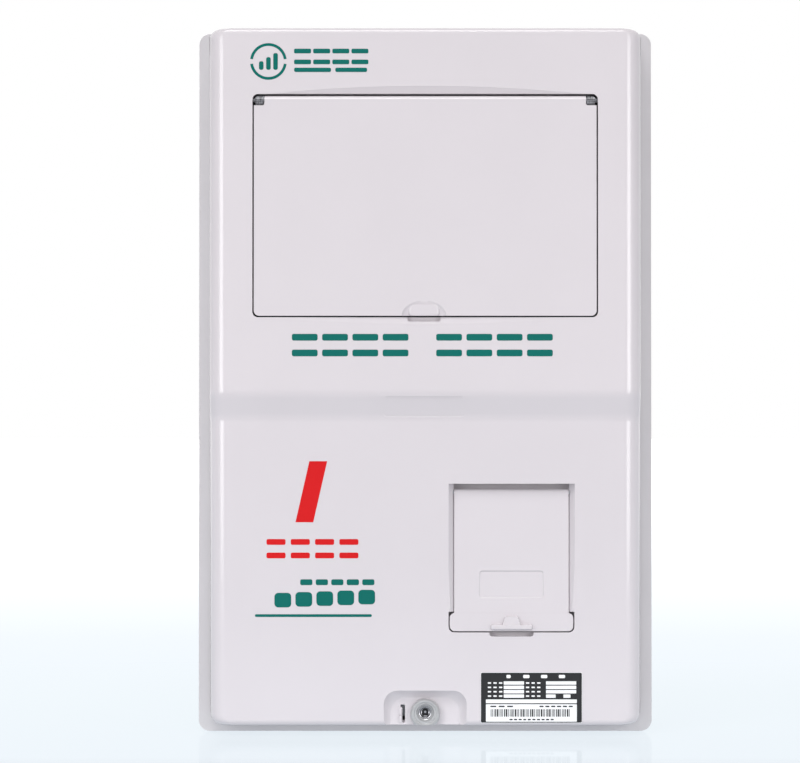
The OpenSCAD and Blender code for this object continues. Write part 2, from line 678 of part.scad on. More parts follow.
module breaker_flap() color("whitesmoke") {
    back = door_front - door_t;
    difference() {
        union() {
            slab(door_x, (door_z + door_step) / 2 - 1, door_panel_w, door_z - door_step + 2, 0.5,
                back, door_front);
            bar(door_x - door_panel_w / 2, door_x + door_panel_w / 2, door_z, door_d, door_knuckle_r);
            slab(door_x, (door_bottom + door_step) / 2, door_w, door_step - door_bottom, 4,
                back, door_front + 0.4);
        }
        for (i = [-1, 1])
            bar(door_x + i * door_panel_w / 2 - 7, door_x + i * door_panel_w / 2 + 7,
                door_z, door_d, door_pin_r);
    }
    // Pull ledge with its tapered rib, and a raised outline
    block(door_x - 16, door_x + 16, -195, -191.5, door_front, door_front + 2.6);
    out(door_front - 0.5) linear_extrude(3) polygon([[door_x - 7.5, -192], [door_x + 7.5, -192],
        [door_x + 5, -185], [door_x - 5, -185]]);
    out(door_front - 0.2) linear_extrude(0.5) translate([door_x, -160]) outline_2d(51, 22, 2.5, 0.8);
}

module breaker_flap_pins() color("silver") for (i = [-1, 1]) {
    edge = door_x + i * door_panel_w / 2;
    bar(min(edge - i * 6.5, edge + i * 4), max(edge - i * 6.5, edge + i * 4), door_z, door_d, door_pin_r);
}

// ---- Wires ----

module live_wires() color("firebrick") for (route = live_routes) wire(route, wire_r);
module neutral_wires() color("royalblue") for (route = neutral_routes) wire(route, wire_r);

// ---- Assembly ----

base_box();
gasket();
cable_grommets();
mounting_plate();
plate_screws();
meter_case(-meter_x);  // left_meter_case
meter_front(-meter_x);  // left_meter_front
meter_board(-meter_x);  // left_meter_board
meter_display(-meter_x);  // left_meter_display
terminal_block(-meter_x);  // left_terminal_block
terminal_screws(-meter_x);  // left_terminal_screws
terminal_cover(-meter_x);  // left_terminal_cover
cover_screws(-meter_x);  // left_cover_screws
meter_button(-meter_x - button_dx);  // left_page_button
meter_button(-meter_x + button_dx);  // left_set_button
meter_case(meter_x);  // right_meter_case
meter_front(meter_x);  // right_meter_front
meter_board(meter_x);  // right_meter_board
meter_display(meter_x);  // right_meter_display
terminal_block(meter_x);  // right_terminal_block
terminal_screws(meter_x);  // right_terminal_screws
terminal_cover(meter_x);  // right_terminal_cover
cover_screws(meter_x);  // right_cover_screws
meter_button(meter_x - button_dx);  // right_page_button
meter_button(meter_x + button_dx);  // right_set_button
meter_screws();
din_rail();
rail_brackets();
rail_screws();
device_body(isolator_x);  // isolator_body
device_toggle(isolator_x);  // isolator_toggle
device_body(breaker_xs[0]);  // breaker_a_body
device_toggle(breaker_xs[0]);  // breaker_a_toggle
device_body(breaker_xs[1]);  // breaker_b_body
device_toggle(breaker_xs[1]);  // breaker_b_toggle
device_screws();
color("goldenrod") terminal_bar(-20 - bar_len / 2);  // neutral_bar
color("goldenrod") terminal_bar(20 + bar_len / 2);  // earth_bar
bar_stands();
bar_screws();
live_wires();
neutral_wires();
lock_catch();
catch_screw();
front_cover();
hinge_pins();
window_pane();
pane_frame();
pane_screws();
nameplate();
lock_bezel();
lock_nut();
window_flap();
flap_knuckles();
breaker_flap();
breaker_flap_pins();
lock_barrel();
lock_cam();
cam_screw();
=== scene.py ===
import json
import math
from collections import namedtuple

import bmesh
import bpy
from mathutils import Matrix, Vector


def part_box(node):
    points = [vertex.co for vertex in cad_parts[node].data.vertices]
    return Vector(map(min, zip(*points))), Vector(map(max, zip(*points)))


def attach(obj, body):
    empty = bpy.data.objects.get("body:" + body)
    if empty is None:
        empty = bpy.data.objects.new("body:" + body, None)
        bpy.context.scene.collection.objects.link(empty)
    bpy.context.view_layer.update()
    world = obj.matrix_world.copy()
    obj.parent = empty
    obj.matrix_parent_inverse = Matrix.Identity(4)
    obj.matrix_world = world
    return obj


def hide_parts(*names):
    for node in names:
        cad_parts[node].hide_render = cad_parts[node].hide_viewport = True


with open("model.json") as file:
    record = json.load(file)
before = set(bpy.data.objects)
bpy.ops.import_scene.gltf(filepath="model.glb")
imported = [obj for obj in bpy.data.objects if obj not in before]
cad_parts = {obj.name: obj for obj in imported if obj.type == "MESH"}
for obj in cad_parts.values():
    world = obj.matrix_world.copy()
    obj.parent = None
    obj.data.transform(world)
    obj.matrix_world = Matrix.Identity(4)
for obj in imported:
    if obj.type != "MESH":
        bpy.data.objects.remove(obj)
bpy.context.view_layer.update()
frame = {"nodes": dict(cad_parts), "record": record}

# Lengths are in millimetres until at() turns them into metres. A place is (x, depth, z): x to the
# right, depth out from the wall, z up. The box's own places come from the CAD nodes.
MM = 0.001
PI = math.pi
BUMP_HEIGHT = 0.2
BAR_STEPS = 32
FLAT_ANGLE = math.radians(0.4)
EDGE_ANGLE = math.radians(32)
WELD_DIST = 0.00001
Box = namedtuple("Box", "left right back front bottom top")


def at(x, depth, z):
    return Vector((x, -depth, z)) * MM


def extent(node):
    """A CAD node's box in millimetres."""
    low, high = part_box(node)
    return Box(*[v / MM for v in (low.x, high.x, -high.y, -low.y, low.z, high.z)])


def centre_x(box):
    return (box.left + box.right) / 2


def centre_z(box):
    return (box.bottom + box.top) / 2


COVER = extent("front_cover")
FLAP = extent("window_flap")
DOOR = extent("breaker_flap")
PANE_FRAME = extent("pane_frame")
PLATE = extent("nameplate")
BARREL = extent("lock_barrel")

# Front cover
WALL = 3.0
SKIN = COVER.front - 0.1
CORNER_R = 8.0
EDGE_R = 13.0
TOP_EDGE_R = 4.2
DRAFT = 2.0
BROW_Z = -10.0
KNEE_Z = -29.0
BROW_DROP = 8.0
LEAN = 11.0
BLEND = 1.4

# Window, breaker pocket and lock recess. AHEAD is a depth clear of the cover, where cutters end.
AHEAD = COVER.front + 2
FLAP_W = FLAP.right - FLAP.left
FLAP_H = FLAP.top - FLAP.bottom
TUB_FLOOR = COVER.front - 8
TUB_BACK = COVER.front - 11
FLAP_PIN_Z = FLAP.top - 3.6
FLAP_PIN_D = COVER.front - 3.6
FLAP_Z = (FLAP.top + FLAP.bottom) / 2
VIEW_W = 244.0
VIEW_H = 152.0
VIEW_Z = centre_z(PANE_FRAME)
DOOR_X = centre_x(DOOR)
DOOR_FRONT = COVER.front - 16.5
DOOR_STEP = DOOR.bottom + 14.3
DOOR_HALF = (DOOR.right - DOOR.left) / 2 - 3.5
DOOR_PIN_Z = DOOR.top - 2.3
POCKET_TOP = DOOR.top + 4.5
POCKET_FLOOR = COVER.front - 26
RAIL_Z = -140.0
RECESS_D = COVER.front - 25
RECESS_TOP = -243.6
RECESS_HALF = 33.0
LOCK_Z = (extent("cam_screw").bottom + extent("cam_screw").top) / 2


# ---- Materials ----

def new_material(name):
    material = bpy.data.materials.new(name)
    material.use_nodes = True
    nodes = material.node_tree.nodes
    return material, nodes, material.node_tree.links, nodes["Principled BSDF"]


def noise_node(nodes, links, coords, scale, detail=3.0, stretch=(1, 1, 1)):
    """Noise over the object, in features per metre."""
    mapping = nodes.new("ShaderNodeMapping")
    mapping.inputs["Scale"].default_value = stretch
    links.new(coords.outputs["Object"], mapping.inputs["Vector"])
    noise = nodes.new("ShaderNodeTexNoise")
    noise.inputs["Scale"].default_value = scale
    noise.inputs["Detail"].default_value = detail
    links.new(mapping.outputs["Vector"], noise.inputs["Vector"])
    return noise


def spread_colour(nodes, links, source, target, colour, amount):
    """Colour that drifts a little darker and lighter with the source."""
    ramp = nodes.new("ShaderNodeValToRGB")
    ramp.color_ramp.elements[0].position = 0.3
    ramp.color_ramp.elements[1].position = 0.7
    ramp.color_ramp.elements[0].color = [c * (1 - amount) for c in colour] + [1]
    ramp.color_ramp.elements[1].color = [min(c * (1 + amount), 1) for c in colour] + [1]
    links.new(source.outputs["Fac"], ramp.inputs["Fac"])
    links.new(ramp.outputs["Color"], target)


def spread_value(nodes, links, source, target, middle, amount):
    """Value that drifts round the middle with the source."""
    scale = nodes.new("ShaderNodeMapRange")
    scale.inputs["To Min"].default_value = max(middle - amount, 0.02)
    scale.inputs["To Max"].default_value = middle + amount
    links.new(source.outputs["Fac"], scale.inputs["Value"])
    links.new(scale.outputs["Result"], target)


def add_bump(nodes, links, source, shader, strength):
    bump = nodes.new("ShaderNodeBump")
    bump.inputs["Strength"].default_value = strength
    bump.inputs["Distance"].default_value = BUMP_HEIGHT * MM
    links.new(source.outputs["Fac"], bump.inputs["Height"])
    links.new(bump.outputs["Normal"], shader.inputs["Normal"])


def surface(name, colour, roughness, grain, bump, drift=0.03, blotch=18, stretch=(1, 1, 1), metal=0.0,
            coat=0.0, rough_drift=0.06):
    """Moulded, cast or drawn surface: slow colour drift, roughness drift and a fine grain."""
    material, nodes, links, shader = new_material(name)
    coords = nodes.new("ShaderNodeTexCoord")
    slow = noise_node(nodes, links, coords, blotch)
    fine = noise_node(nodes, links, coords, grain, 4, stretch)
    spread_colour(nodes, links, slow, shader.inputs["Base Color"], colour, drift)
    spread_value(nodes, links, fine, shader.inputs["Roughness"], roughness, rough_drift)
    add_bump(nodes, links, fine, shader, bump)
    shader.inputs["Metallic"].default_value = metal
    shader.inputs["Coat Weight"].default_value = coat
    shader.inputs["Coat Roughness"].default_value = 0.12
    return material


def clear_sheet(name, colour, roughness):
    material, nodes, links, shader = new_material(name)
    coords = nodes.new("ShaderNodeTexCoord")
    fine = noise_node(nodes, links, coords, 60)
    spread_value(nodes, links, fine, shader.inputs["Roughness"], roughness, 0.02)
    spread_colour(nodes, links, fine, shader.inputs["Base Color"], colour, 0.01)
    shader.inputs["Transmission Weight"].default_value = 1
    shader.inputs["IOR"].default_value = 1.5
    return material


def smoke():
    """Streaky translucent grey of the flap's knuckles."""
    material, nodes, links, shader = new_material("smoke plastic")
    coords = nodes.new("ShaderNodeTexCoord")
    streaks = noise_node(nodes, links, coords, 260, 3, (3.0, 1, 0.7))
    spread_colour(nodes, links, streaks, shader.inputs["Base Color"], (0.22, 0.22, 0.24), 0.75)
    spread_value(nodes, links, streaks, shader.inputs["Roughness"], 0.25, 0.08)
    add_bump(nodes, links, streaks, shader, 0.2)
    shader.inputs["Transmission Weight"].default_value = 0.15
    return material


def brushed(name, colour, roughness, stretch=(1, 1, 24)):
    return surface(name, colour, roughness, 380, 0.12, 0.05, 60, stretch, metal=1.0, rough_drift=0.1)


LOOKS = {
    "shell_grey": surface("shell grey", (0.60, 0.58, 0.60), 0.34, 1500, 0.10, 0.015),
    "shell_white": surface("shell white", (0.64, 0.60, 0.63), 0.20, 1100, 0.04, 0.008, coat=0.2,
                           rough_drift=0.03),
    "rubber_black": surface("rubber", (0.022, 0.022, 0.025), 0.75, 2200, 0.35, 0.15),
    "zinc_steel": brushed("zinc", (0.62, 0.63, 0.66), 0.34, (1, 1, 6)),
    "meter_case_plastic": surface("meter case", (0.045, 0.05, 0.06), 0.5, 1600, 0.2, 0.08),
    "meter_front_plastic": surface("meter front", (0.62, 0.64, 0.66), 0.3, 1400, 0.08, 0.02),
    "circuit_board": surface("solder mask", (0.012, 0.13, 0.05), 0.35, 700, 0.2, 0.2, 240),
    "display_glass": surface("liquid crystal", (0.21, 0.26, 0.17), 0.12, 300, 0.0, 0.04),
    "black_plastic": surface("black plastic", (0.02, 0.02, 0.024), 0.4, 1500, 0.15, 0.1),
    "brass": brushed("brass", (0.72, 0.50, 0.20), 0.3),
    "button_plastic": surface("button blue", (0.03, 0.10, 0.38), 0.35, 1500, 0.08, 0.04),
    "device_plastic": surface("device plastic", (0.60, 0.61, 0.61), 0.38, 1500, 0.1, 0.02),
    "wire_red": surface("red insulation", (0.45, 0.015, 0.015), 0.4, 900, 0.1, 0.06),
    "wire_blue": surface("blue insulation", (0.015, 0.06, 0.36), 0.4, 900, 0.1, 0.06),
    "clear_plastic": clear_sheet("clear sheet", (0.93, 0.95, 0.96), 0.05),
    "label_stock": surface("label white", (0.86, 0.86, 0.87), 0.45, 1800, 0.05, 0.02),
    "lock_plastic": surface("bezel metal", (0.48, 0.48, 0.49), 0.3, 700, 0.02, 0.03, 120, metal=0.4),
    "lock_metal": brushed("lock nickel", (0.52, 0.52, 0.55), 0.3, (1, 8, 1)),
    "smoke_plastic": smoke(),
}


def ink(name, colour):
    """Printing ink with hardly any haze."""
    material = surface(name, colour, 0.5, 1600, 0.05, 0.03)
    material.node_tree.nodes["Principled BSDF"].inputs["Specular IOR Level"].default_value = 0.15
    return material


INK_TEAL = ink("teal ink", (0.002, 0.13, 0.11))
INK_RED = ink("red ink", (0.60, 0.010, 0.012))
INK_BLACK = surface("black ink", (0.012, 0.012, 0.014), 0.38, 1600, 0.05, 0.05)
LED_RED = surface("red lens", (0.55, 0.01, 0.01), 0.12, 500, 0.0, 0.05, coat=0.5)


# ---- Shapes ----

def arc(cx, cz, r, start, end, steps):
    """Points of an arc, in degrees anticlockwise from +x."""
    angles = [math.radians(start + (end - start) * i / steps) for i in range(steps + 1)]
    return [(cx + r * math.cos(a), cz + r * math.sin(a)) for a in angles]


def rounded_rect(cx, cz, w, h, r, steps=6):
    """Outline of a round-cornered rectangle, anticlockwise."""
    x, z = w / 2 - r, h / 2 - r
    return (arc(cx + x, cz - z, r, -90, 0, steps) + arc(cx + x, cz + z, r, 0, 90, steps)
            + arc(cx - x, cz + z, r, 90, 180, steps) + arc(cx - x, cz - z, r, 180, 270, steps))


def oval(cx, cz, w, h, steps=40):
    return [(cx + w / 2 * math.cos(2 * PI * i / steps), cz + h / 2 * math.sin(2 * PI * i / steps))
            for i in range(steps)]


def from_mesh(name, bm):
    bmesh.ops.recalc_face_normals(bm, faces=bm.faces)
    mesh = bpy.data.meshes.new(name)
    bm.to_mesh(mesh)
    bm.free()
    obj = bpy.data.objects.new(name, mesh)
    bpy.context.scene.collection.objects.link(obj)
    return obj


def loft(name, rows):
    """Closed solid through rows of places; every row is a closed outline with as many points."""
    bm = bmesh.new()
    rings = [[bm.verts.new(p) for p in row] for row in rows]
    count = len(rings[0])
    for low, high in zip(rings, rings[1:]):
        for i in range(count):
            bm.faces.new((low[i], low[(i + 1) % count], high[(i + 1) % count], high[i]))
    bm.faces.new(rings[0])
    bm.faces.new(rings[-1])
    return from_mesh(name, bm)


def slab(name, outline, back, front):
    """Front-view outline, solid between two depths."""
    return loft(name, [[at(x, back, z) for x, z in outline], [at(x, front, z) for x, z in outline]])


def across(name, profile, left, right):
    """Side-view outline of (depth, z) points, solid between two x places."""
    return loft(name, [[at(left, d, z) for d, z in profile], [at(right, d, z) for d, z in profile]])


def bar(name, left, right, depth, z, r):
    return across(name, arc(depth, z, r, 0, 360 - 360 / BAR_STEPS, BAR_STEPS - 1), left, right)


def rod(name, x, z, r, back, front, steps=40):
    return slab(name, arc(x, z, r, 0, 360 - 360 / steps, steps - 1), back, front)


def turned(name, x, z, profile, steps=72):
    """Solid of revolution about the depth axis from (radius, depth) points, first to last closed."""
    bm = bmesh.new()
    rings = []
    for k in range(steps):
        a = 2 * PI * k / steps
        rings.append([bm.verts.new(at(x + r * math.cos(a), d, z + r * math.sin(a))) for r, d in profile])
    count = len(profile)
    for k in range(steps):
        here, there = rings[k], rings[(k + 1) % steps]
        for i in range(count):
            j = (i + 1) % count
            bm.faces.new((here[i], here[j], there[j], there[i]))
    return from_mesh(name, bm)


def bake(obj):
    """Applies obj's modifiers."""
    graph = bpy.context.evaluated_depsgraph_get()
    mesh = bpy.data.meshes.new_from_object(obj.evaluated_get(graph))
    obj.modifiers.clear()
    old = obj.data
    obj.data = mesh
    bpy.data.meshes.remove(old)
    return obj


def carve(obj, operation, *tools):
    """Combines obj with each tool in turn, and deletes the tools."""
    for tool in tools:
        step = obj.modifiers.new("step", "BOOLEAN")
        step.operation = operation
        step.solver = "MANIFOLD"
        step.object = tool
        bake(obj)
        bpy.data.objects.remove(tool)
    return obj


def cut(obj, *tools):
    return carve(obj, "DIFFERENCE", *tools)


def join(obj, *tools):
    return carve(obj, "UNION", *tools)


def keep(obj, *tools):
    return carve(obj, "INTERSECT", *tools)


def merge_flat(obj):
    """Joins the coplanar scraps that boolean steps leave."""
    bm = bmesh.new()
    bm.from_mesh(obj.data)
    bmesh.ops.remove_doubles(bm, verts=bm.verts, dist=WELD_DIST)
    bmesh.ops.dissolve_limit(bm, angle_limit=FLAT_ANGLE, verts=bm.verts, edges=bm.edges)
    bm.to_mesh(obj.data)
    bm.free()


def soften(obj, width):
    """Rounds sharp edges and keeps the flats flat in the shading."""
    bevel = obj.modifiers.new("round edges", "BEVEL")
    bevel.width = width * MM
    bevel.segments = 2
    bevel.limit_method = "ANGLE"
    bevel.angle_limit = EDGE_ANGLE
    bevel.miter_outer = "MITER_ARC"
    normals = obj.modifiers.new("flat faces", "WEIGHTED_NORMAL")
    normals.keep_sharp = True
    normals.weight = 80
    obj.data.shade_smooth()


def dress(obj, slot, body, *nodes, look=None, width=0.4):
    """Finishes a piece: round edges, material, body, and the CAD nodes it stands for."""
    if width:
        soften(obj, width)
    obj.data.materials.clear()
    obj.data.materials.append(look or LOOKS[slot])
    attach(obj, body)
    if nodes:
        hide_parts(*nodes)
    return obj


# ---- Front cover ----

def soft_min(a, b, k):
    h = max(k - abs(a - b), 0) / k
    return min(a, b) - h * h * k / 4


def front_depth(z):
    """Depth of the cover's front at height z: upright, a short slope, then a face that leans back."""
    slope = SKIN - BROW_DROP * (BROW_Z - z) / (BROW_Z - KNEE_Z)
    lower = SKIN - BROW_DROP - LEAN * (KNEE_Z - z) / (KNEE_Z - COVER.bottom)
    below_brow = -soft_min(-slope, -lower, BLEND)
    return soft_min(SKIN, below_brow, BLEND)


def round_drop(distance, r):
    """How far a round edge of radius r falls back, this close to the edge."""
    t = max(r - distance, 0)
    return r - math.sqrt(max(r * r - t * t, 0))


def cover_row(z, inset, back):
    """Plan outline of the cover at height z."""
    top = COVER.top - inset
    bottom = COVER.bottom + inset
    edge = min(top - z, z - bottom)
    half = COVER.right - inset - round_drop(edge, CORNER_R - inset)
    front = front_depth(z) - inset - round_drop(edge, max(TOP_EDGE_R - inset, 0.2))
    r = EDGE_R - inset
    lean = DRAFT
    side = [(half - lean - r + px, front - r + py) for px, py in arc(0, 0, r, 0, 90, 12)]
    right = [(half, back)] + side
    left = [(-x, d) for x, d in reversed(right)]
    return [at(x, d, z) for x, d in right + left]


def cover_form(name, inset, back):
    top = COVER.top - inset
    bottom = COVER.bottom + inset
    corner = CORNER_R - inset
    levels = {round(math.sin(math.radians(a)) * r - r, 4)
              for a in range(0, 91, 10) for r in (corner, max(TOP_EDGE_R - inset, 0.2))}
    zs = {top + v for v in levels} | {bottom - v for v in levels}
    zs |= {BROW_Z + 9 - 1.25 * i for i in range(32)}
    zs |= {bottom + corner + i * 24 for i in range(1, 9)}
    ordered = sorted(zs)
    kept = [ordered[0]]
    for z in ordered[1:]:
        if z - kept[-1] > 0.02:
            kept.append(z)
    return loft(name, [cover_row(z, inset, back) for z in kept])


def on_front(x, z, lift):
    return at(x, front_depth(z) + lift, z)


def arched_groove(name, edge_z, height, depth, reach):
    """Scoop beside the flap's gap: deepest at the gap, gone at both ends."""
    rows = []
    for i in range(41):
        x = reach * (i / 20 - 1)
        swell = max(1 - (x / reach) ** 2, 0.003)
        far = edge_z + height * swell
        rows.append([at(x, SKIN + 2, edge_z), at(x, SKIN - depth * swell, edge_z),
                     at(x, SKIN - 0.12 * depth * swell, edge_z + 0.93 * height * swell),
                     at(x, SKIN + 0.01, far), at(x, SKIN + 2, far)])
    return loft(name, rows)


def pocket_shape(name, z0, z1, half, wide):
    """Breaker pocket above its foot: a ledge behind the panel's sides, walls that splay to the surface."""
    splay = wide - half
    right = [(half - 4, POCKET_FLOOR), (half - 4, DOOR_FRONT - 3), (half, DOOR_FRONT - 3),
             (half, DOOR_FRONT - 1.5), (wide, DOOR_FRONT + splay - 1), (wide, COVER.front + 5)]
    plan = [(-x, d) for x, d in reversed(right)] + right
    return loft(name, [[at(DOOR_X + x, d, z) for x, d in plan] for z in (z0, z1)])


def recess_shape(name):
    """Lock recess: round-cornered, open below, with walls that splay towards the front."""
    rows = []
    for lift, grow in ((0, -6.5), (0.5, -5.6), (1.4, -4.2), (3.0, -2.6), (6.0, -0.5), (11.5, 1.4)):
        outline = rounded_rect(0, RECESS_TOP - 40 + grow / 2, 2 * (RECESS_HALF + grow), 80 + grow, 11, 8)
        rows.append([at(x, RECESS_D + lift, z) for x, z in outline])
    return loft(name, rows)


def seal_slot():
    """Slot for the seal wire, with a hook at its top."""
    upright = slab("slot", rounded_rect(-17.0, -262.4, 2.2, 14.4, 1.0, 4), RECESS_D - 4, RECESS_D + 2)
    hook = slab("hook", rounded_rect(-17.8, -256.4, 3.4, 2.4, 1.0, 4), RECESS_D - 4, RECESS_D + 2)
    return upright, hook


def seal_nubs():
    """Two raised guides beside the slot."""
    return [slab("nub", rounded_rect(-19.6, z, 1.5, 5.2, 0.7, 4), RECESS_D - 1, RECESS_D + 2.0)
            for z in (-260.6, -266.2)]


def slope_outline():
    """Shallow panel sunk into the slope."""
    tilt = math.atan(BROW_DROP / (BROW_Z - KNEE_Z))
    middle = (BROW_Z + KNEE_Z) / 2 - 0.6
    rows = []
    for lift, w, h, r in ((-0.5, 62, 15.5, 2), (0.02, 64, 17.5, 3), (2, 64, 17.5, 3)):
        rows.append([at(x, front_depth(middle) + v * math.sin(tilt) + lift * math.cos(tilt),
                        middle + v * math.cos(tilt) - lift * math.sin(tilt))
                     for x, v in rounded_rect(-1, 0, w, h, r)])
    return loft("slope outline", rows)


def hinge_lugs():
    lugs = []
    for side in (-1, 1):
        for end in (-1, 1):
            x = side * 110 + end * 18.4
            body = bar("lug", x - 3, x + 3, 103.6, COVER.top - 8, 7.5)
            web = [(97.6, COVER.top - 8), (109.6, COVER.top - 8), (109.6, COVER.top - 2.5),
                   (97.6, COVER.top - 2.5)]
            join(body, across("web", web, x - 3, x + 3))
            lugs.append(cut(body, bar("lug bore", x - 5, x + 5, 103.6, COVER.top - 8, 2.05)))
    return lugs


def front_cover():
    seam = COVER.back
    shell = cut(cover_form("cover_shell", 0, seam), cover_form("cavity", WALL, seam - 6))
    tub = slab("tub", rounded_rect(0, VIEW_Z - 0.5, FLAP_W + 8, 182, 4), TUB_BACK, COVER.front - 1)
    block_top = POCKET_TOP + 4
    block_low = DOOR.bottom - 8
    pocket = slab("pocket block",
                  rounded_rect(DOOR_X, (block_top + block_low) / 2, 106, block_top - block_low, 2),
                  POCKET_FLOOR - 3, COVER.front)
    recess = slab("recess block", rounded_rect(0, RECESS_TOP - 30, 2 * RECESS_HALF + 6, 66, 9),
                  RECESS_D - 3, COVER.front)
    trims = [keep(block, cover_form("trim", 0.6, seam)) for block in (pocket, recess)]
    join(shell, tub, *trims)
    cut(shell,
        slab("flap recess", rounded_rect(0, FLAP_Z, FLAP_W + 2.3, FLAP_H + 2.3, 4.4), TUB_FLOOR, AHEAD),
        slab("view", rounded_rect(0, VIEW_Z, VIEW_W, VIEW_H, 4), TUB_BACK - 1, TUB_FLOOR + 1),
        slab("finger recess", rounded_rect(-1, FLAP.bottom - 1.5, 26, 6, 1.5), COVER.front - 5, AHEAD),
        arched_groove("upper groove", FLAP.top + 1.2, 6.3, 2.8, 124),
        arched_groove("lower groove", FLAP.bottom - 1.2, -5.5, 0.9, 124))
    wide = (DOOR.right - DOOR.left) / 2 + 0.9
    foot_top = DOOR_STEP + 1.01
    foot_low = DOOR.bottom - 1
    cut(shell,
        pocket_shape("pocket", DOOR_STEP + 1, POCKET_TOP, DOOR_HALF + 0.4, wide),
        slab("hinge room", rounded_rect(DOOR_X, DOOR.top - 0.8, 2 * DOOR_HALF + 0.8, 10.6, 0.3),
             POCKET_FLOOR, DOOR_FRONT),
        slab("pocket foot",
             rounded_rect(DOOR_X, (foot_top + foot_low) / 2, 2 * wide, foot_top - foot_low, 4.5),
             POCKET_FLOOR, AHEAD),
        slab("foot top", rounded_rect(DOOR_X, DOOR_STEP - 3, 2 * wide, 8.02, 0.1), POCKET_FLOOR, AHEAD),
        slab("pocket finger", rounded_rect(DOOR_X, DOOR.bottom - 1.2, 35, 6, 2.5), DOOR_FRONT - 6, AHEAD),
        slab("aperture", rounded_rect(67, RAIL_Z, 76, 50, 2), POCKET_FLOOR - 5, POCKET_FLOOR + 1),
        recess_shape("lock recess"),
        rod("lock hole", 0, LOCK_Z, 6.2, RECESS_D - 5, RECESS_D + 2),
        slope_outline(),
        *seal_slot())
    for side in (-1, 1):
        pin = side * (FLAP_W / 2 + 2.5)
        hinge = DOOR_X + side * (DOOR_HALF + 2)
        cut(shell, bar("flap pin bore", pin - 3, pin + 3, FLAP_PIN_D, FLAP_PIN_Z, 1.9),
            bar("door pin bore", hinge - 2.5, hinge + 2.5, DOOR_FRONT - 2.3, DOOR_PIN_Z, 1.5))
    join(shell, *seal_nubs(), *hinge_lugs())
    merge_flat(shell)
    dress(shell, "shell_white", "cover", "front_cover", width=0.5)


# ---- Flaps ----

def window_flap():
    edge = FLAP_W / 2
    notch = 8.2
    low = FLAP.bottom
    panel = slab("window_flap_panel", rounded_rect(0, FLAP_Z, FLAP_W, FLAP_H, 4), COVER.front - 3,
                 COVER.front)
    barrel = bar("barrel", notch - edge, edge - notch, FLAP_PIN_D, FLAP_PIN_Z, 3.6)
    above = arc(FLAP_PIN_D, FLAP_PIN_Z, 3.6, 0, 90, 10)
    above += [(FLAP_PIN_D, FLAP.top + 2), (AHEAD, FLAP.top + 2), (AHEAD, FLAP_PIN_Z)]
    cut(panel, across("above the barrel", above, -edge - 1, edge + 1))
    skirt = cut(slab("skirt", rounded_rect(0, 132, 2 * edge - 3, 161, 3), TUB_FLOOR + 1, COVER.front - 2.5),
                slab("skirt inner", rounded_rect(0, 132, 2 * edge - 7, 157, 2), TUB_FLOOR, COVER.front - 2))
    join(panel, barrel, skirt)
    for side in (-1, 1):
        end = side * (edge - notch)
        cut(panel, slab("notch", rounded_rect(side * edge, FLAP_PIN_Z + 1.8, 2 * notch, 12, 1.5),
                        TUB_FLOOR - 1, COVER.front + 1),
            bar("pin bore", end - 8, end + 8, FLAP_PIN_D, FLAP_PIN_Z, 1.8))
    dish = turned("dish", 0, 0, [(0.01, -2.4), (12, -2.3), (15, -2.0), (16.7, -1.1), (17.5, 0), (17.5, 4),
                                 (0.01, 4)])
    # The dish is oval, and its floor leans forward so that it fades out at its top.
    lean = Matrix.Identity(4)
    lean[1][2] = -0.17
    oval_scale = Matrix.Diagonal((1, 1, 0.8, 1))
    dish.data.transform(Matrix.Translation(at(-1, COVER.front, low)) @ lean @ oval_scale)
    cut(panel, dish)
    tab = loft("tab", [[at(x, depth, z) for x, z in rounded_rect(-1, low + 4.4 - grow / 2, 22 + 2 * grow,
                        8.8 + grow, 4 + grow / 2, 8)]
                       for depth, grow in ((COVER.front - 2.8, 1.6), (COVER.front - 1.3, 1.2),
                                           (COVER.front - 0.6, 0.7), (COVER.front - 0.15, -0.3),
                                           (COVER.front, -1.6))])
    keep_box = slab("keep", rounded_rect(-1, low + 10, 60, 20, 0.1), COVER.front - 3, COVER.front)
    join(panel, keep(tab, keep_box))
    merge_flat(panel)
    dress(panel, "shell_white", "window_flap", "window_flap", width=0.4)


def window_gap_shade():
    """Dark ring on the floor of the gap round the flap: painted shade that darkens the gap."""
    outer = rounded_rect(0, FLAP_Z, FLAP_W + 2.1, FLAP_H + 2.1, 4.3)
    inner = rounded_rect(0, FLAP_Z, FLAP_W - 2.4, FLAP_H - 2.4, 2)
    ring = cut(slab("window_gap_shade", outer, TUB_FLOOR + 0.02, TUB_FLOOR + 0.6),
               slab("gap shade inner", inner, TUB_FLOOR - 1, TUB_FLOOR + 2))
    dress(ring, "rubber_black", "cover", width=0.1)


